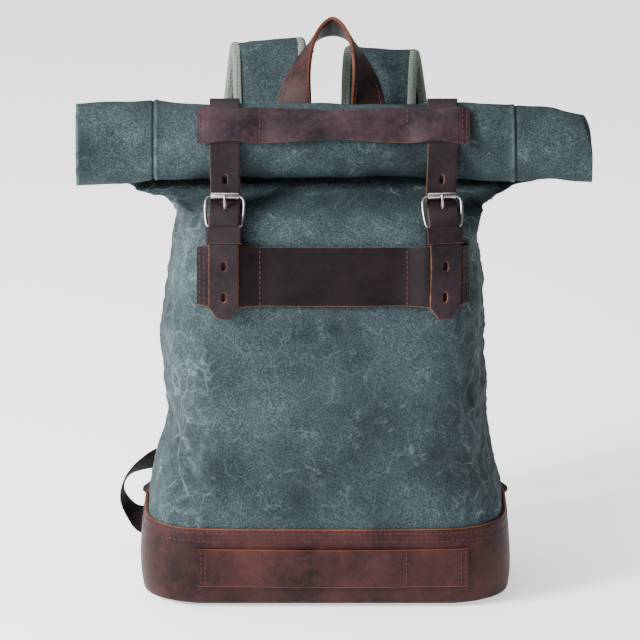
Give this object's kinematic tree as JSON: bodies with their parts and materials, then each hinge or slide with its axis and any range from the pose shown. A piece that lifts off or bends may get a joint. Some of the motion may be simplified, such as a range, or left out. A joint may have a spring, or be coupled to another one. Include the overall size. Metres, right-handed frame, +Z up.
{
  "type": "rolltop backpack",
  "caption": "Rolltop backpack of waxed canvas and leather, its top rolled down and held by buckled straps, with padded shoulder straps and a carry handle.",
  "frame": {"origin": "on the flat underside, below the middle of the bag", "axes": "+Z up from the base to the roll, +Y from the buckled front to the back panel, +X to the right as seen from the front"},
  "size_m": [0.427, 0.2348, 0.4662],
  "materials": {
    "canvas": "waxed canvas, mottled blue-green, matte with faint creases",
    "leather": "oiled dark brown leather with raw orange-brown edges",
    "binding": "grey-green woven tape",
    "webbing": "ribbed dark brown webbing",
    "metal": "dull nickel-plated steel"
  },
  "bodies": {
    "root": {"canvas_body": "canvas", "canvas_roll": "canvas", "base_leather": "leather", "roll_strip": "leather", "front_strip": "leather", "base_strip": "leather", "carry_handle": "leather", "yoke": "leather", "strap_left": "leather", "buckle_left": "metal", "roller_left": "metal", "prong_left": "metal", "keeper_left": "leather", "chape_left": "leather", "shoulder_pad_left": "canvas", "binding_outer_left": "binding", "binding_inner_left": "binding", "webbing_left": "webbing", "slide_left": "metal", "corner_tab_left": "leather", "strap_right": "leather", "buckle_right": "metal", "roller_right": "metal", "prong_right": "metal", "keeper_right": "leather", "chape_right": "leather", "shoulder_pad_right": "canvas", "binding_outer_right": "binding", "binding_inner_right": "binding", "webbing_right": "webbing", "slide_right": "metal", "corner_tab_right": "leather"}
  },
  "joints": []
}
